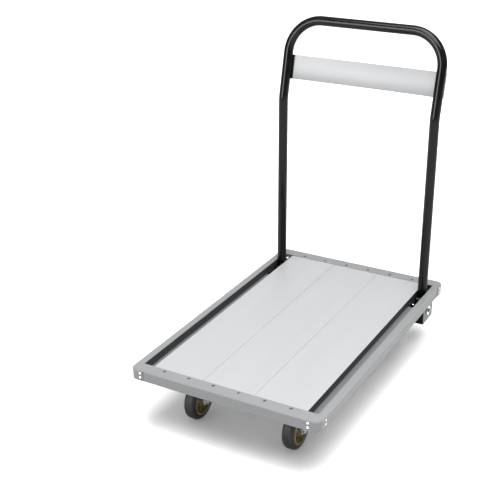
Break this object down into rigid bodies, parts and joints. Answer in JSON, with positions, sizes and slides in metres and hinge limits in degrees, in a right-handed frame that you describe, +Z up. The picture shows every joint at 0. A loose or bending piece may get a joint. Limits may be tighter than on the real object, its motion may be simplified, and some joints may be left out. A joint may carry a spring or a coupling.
{
  "type": "platform truck",
  "caption": "Flatbed platform truck: planked aluminium deck on two rigid and two swivel casters, with a folding tube handle and a toe release bar.",
  "frame": {"origin": "on the ground, under the centre of the truck's overall plan rectangle", "axes": "+Z up; +Y from the front edge to the handle end; +X to the right for someone standing in front of the truck and looking at the handle"},
  "size_m": [0.6158, 0.9898, 1.0756],
  "materials": {
    "anodised_aluminium": "satin anodised extrusion",
    "frame_aluminium": "brushed extrusion",
    "panel_aluminium": "satin sheet",
    "screw_steel": "plain",
    "rivet_steel": "bright",
    "zinc_steel": "zinc plated",
    "spring_steel": "plain",
    "bearing_steel": "ground",
    "black_coating": "gloss black powder coat",
    "rubber": "matt",
    "hub_nylon": "moulded"
  },
  "bodies": {
    "chassis": {"plank_left": "anodised_aluminium", "plank_centre": "anodised_aluminium", "plank_right": "anodised_aluminium", "rail_front": "frame_aluminium", "rail_rear": "frame_aluminium", "rail_left": "frame_aluminium", "rail_right": "frame_aluminium", "cap_front_left": "frame_aluminium", "cap_front_right": "frame_aluminium", "cap_rear_left": "frame_aluminium", "cap_rear_right": "frame_aluminium", "deck_screws": "screw_steel", "cap_rivets": "rivet_steel", "member_front": "frame_aluminium", "member_rear": "frame_aluminium", "caster_bolts": "zinc_steel", "fork_front_left": "zinc_steel", "fork_front_right": "zinc_steel", "axles_front": "zinc_steel", "axle_nuts_front": "zinc_steel", "plate_rear_left": "zinc_steel", "plate_rear_right": "zinc_steel", "kingpins": "spring_steel", "bracket_left": "black_coating", "bracket_right": "black_coating", "bracket_screws": "zinc_steel", "pivot_pins": "zinc_steel", "latch_springs": "spring_steel"},
    "handle": {"handle_tube": "black_coating", "tab_left": "black_coating", "tab_right": "black_coating", "panel": "panel_aluminium", "panel_rivets": "rivet_steel", "foot_left": "black_coating", "foot_right": "black_coating"},
    "release": {"release_bar": "zinc_steel", "pawl_left": "zinc_steel", "pawl_right": "zinc_steel", "bar_washers": "zinc_steel", "bar_screws": "spring_steel"},
    "caster_left": {"fork_rear_left": "zinc_steel", "axle_rear_left": "zinc_steel", "nut_rear_left": "zinc_steel"},
    "caster_right": {"fork_rear_right": "zinc_steel", "axle_rear_right": "zinc_steel", "nut_rear_right": "zinc_steel"},
    "wheel_front_left": {"tyre_front_left": "rubber", "hub_front_left": "hub_nylon", "bush_front_left": "bearing_steel"},
    "wheel_front_right": {"tyre_front_right": "rubber", "hub_front_right": "hub_nylon", "bush_front_right": "bearing_steel"},
    "wheel_rear_left": {"tyre_rear_left": "rubber", "hub_rear_left": "hub_nylon", "bush_rear_left": "bearing_steel"},
    "wheel_rear_right": {"tyre_rear_right": "rubber", "hub_rear_right": "hub_nylon", "bush_rear_right": "bearing_steel"}
  },
  "joints": [
    {"name": "handle_fold", "type": "hinge", "parent": "chassis", "child": "handle", "pos_m": [0, 0.38, 0.1772], "axis": [1, 0, 0], "range_deg": [0, 90]},
    {"name": "release_press", "type": "hinge", "parent": "chassis", "child": "release", "pos_m": [0, 0.424, 0.124], "axis": [1, 0, 0], "range_deg": [0, 28], "stiffness_Nm_per_rad": 2, "springref_deg": -14.32},
    {"name": "swivel_left", "type": "hinge", "parent": "chassis", "child": "caster_left", "pos_m": [-0.164, 0.32, 0.15], "axis": [0, 0, 1], "continuous": true},
    {"name": "swivel_right", "type": "hinge", "parent": "chassis", "child": "caster_right", "pos_m": [0.164, 0.32, 0.15], "axis": [0, 0, 1], "continuous": true},
    {"name": "roll_front_left", "type": "hinge", "parent": "chassis", "child": "wheel_front_left", "pos_m": [-0.164, -0.345, 0.0625], "axis": [1, 0, 0], "continuous": true},
    {"name": "roll_front_right", "type": "hinge", "parent": "chassis", "child": "wheel_front_right", "pos_m": [0.164, -0.345, 0.0625], "axis": [1, 0, 0], "continuous": true},
    {"name": "roll_rear_left", "type": "hinge", "parent": "caster_left", "child": "wheel_rear_left", "pos_m": [-0.164, 0.29, 0.0625], "axis": [1, 0, 0], "continuous": true},
    {"name": "roll_rear_right", "type": "hinge", "parent": "caster_right", "child": "wheel_rear_right", "pos_m": [0.164, 0.29, 0.0625], "axis": [1, 0, 0], "continuous": true}
  ]
}
